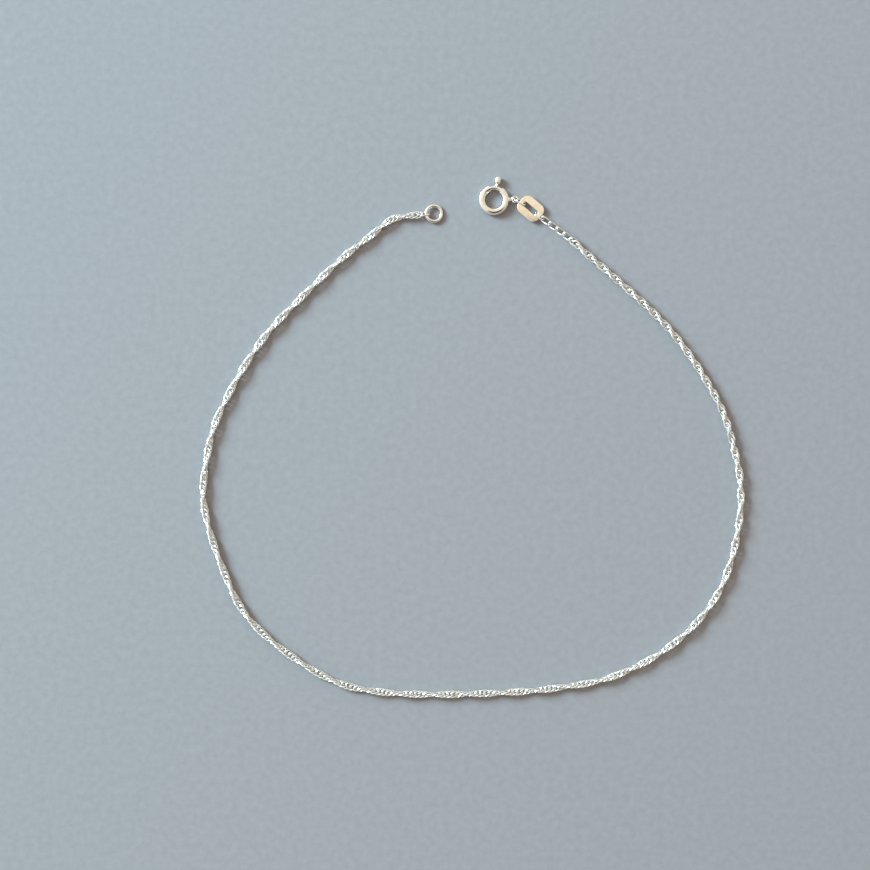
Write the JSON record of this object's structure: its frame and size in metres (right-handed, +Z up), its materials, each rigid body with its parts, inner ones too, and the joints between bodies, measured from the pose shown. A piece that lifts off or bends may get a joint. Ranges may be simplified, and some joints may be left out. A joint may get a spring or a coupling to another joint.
{
  "type": "chain anklet",
  "caption": "Fine twisted curb chain anklet lying open in a loop, with a spring ring clasp, a slotted oval tag and a closed end ring.",
  "frame": {"origin": "under the middle of the anklet's box, on the surface that it lies on", "axes": "+X across the loop to the right with the clasp at the far side, +Y towards the clasp, +Z up from the surface"},
  "size_m": [0.088, 0.0842, 0.0012],
  "materials": {
    "chain": "polished sterling silver with bright cut facets",
    "clasp_body": "polished sterling silver",
    "clasp_bolt": "polished sterling silver",
    "links": "polished sterling silver",
    "tag": "silver with a fine satin grain and a slight warm tarnish",
    "end_ring": "polished sterling silver"
  },
  "bodies": {
    "anklet": {"chain": "chain", "clasp_body": "clasp_body", "jump_ring": "links", "tag": "tag", "tag_link": "links", "end_link": "links", "end_ring": "end_ring"},
    "bolt": {"clasp_bolt": "clasp_bolt"}
  },
  "joints": [
    {"name": "bolt_travel", "type": "hinge", "parent": "anklet", "child": "bolt", "pos_m": [0.0035, 0.03836, 0.00057], "axis": [0, 0, -1], "range_deg": [0, 50], "stiffness_Nm_per_rad": 0.0002, "springref_deg": -22.92}
  ]
}
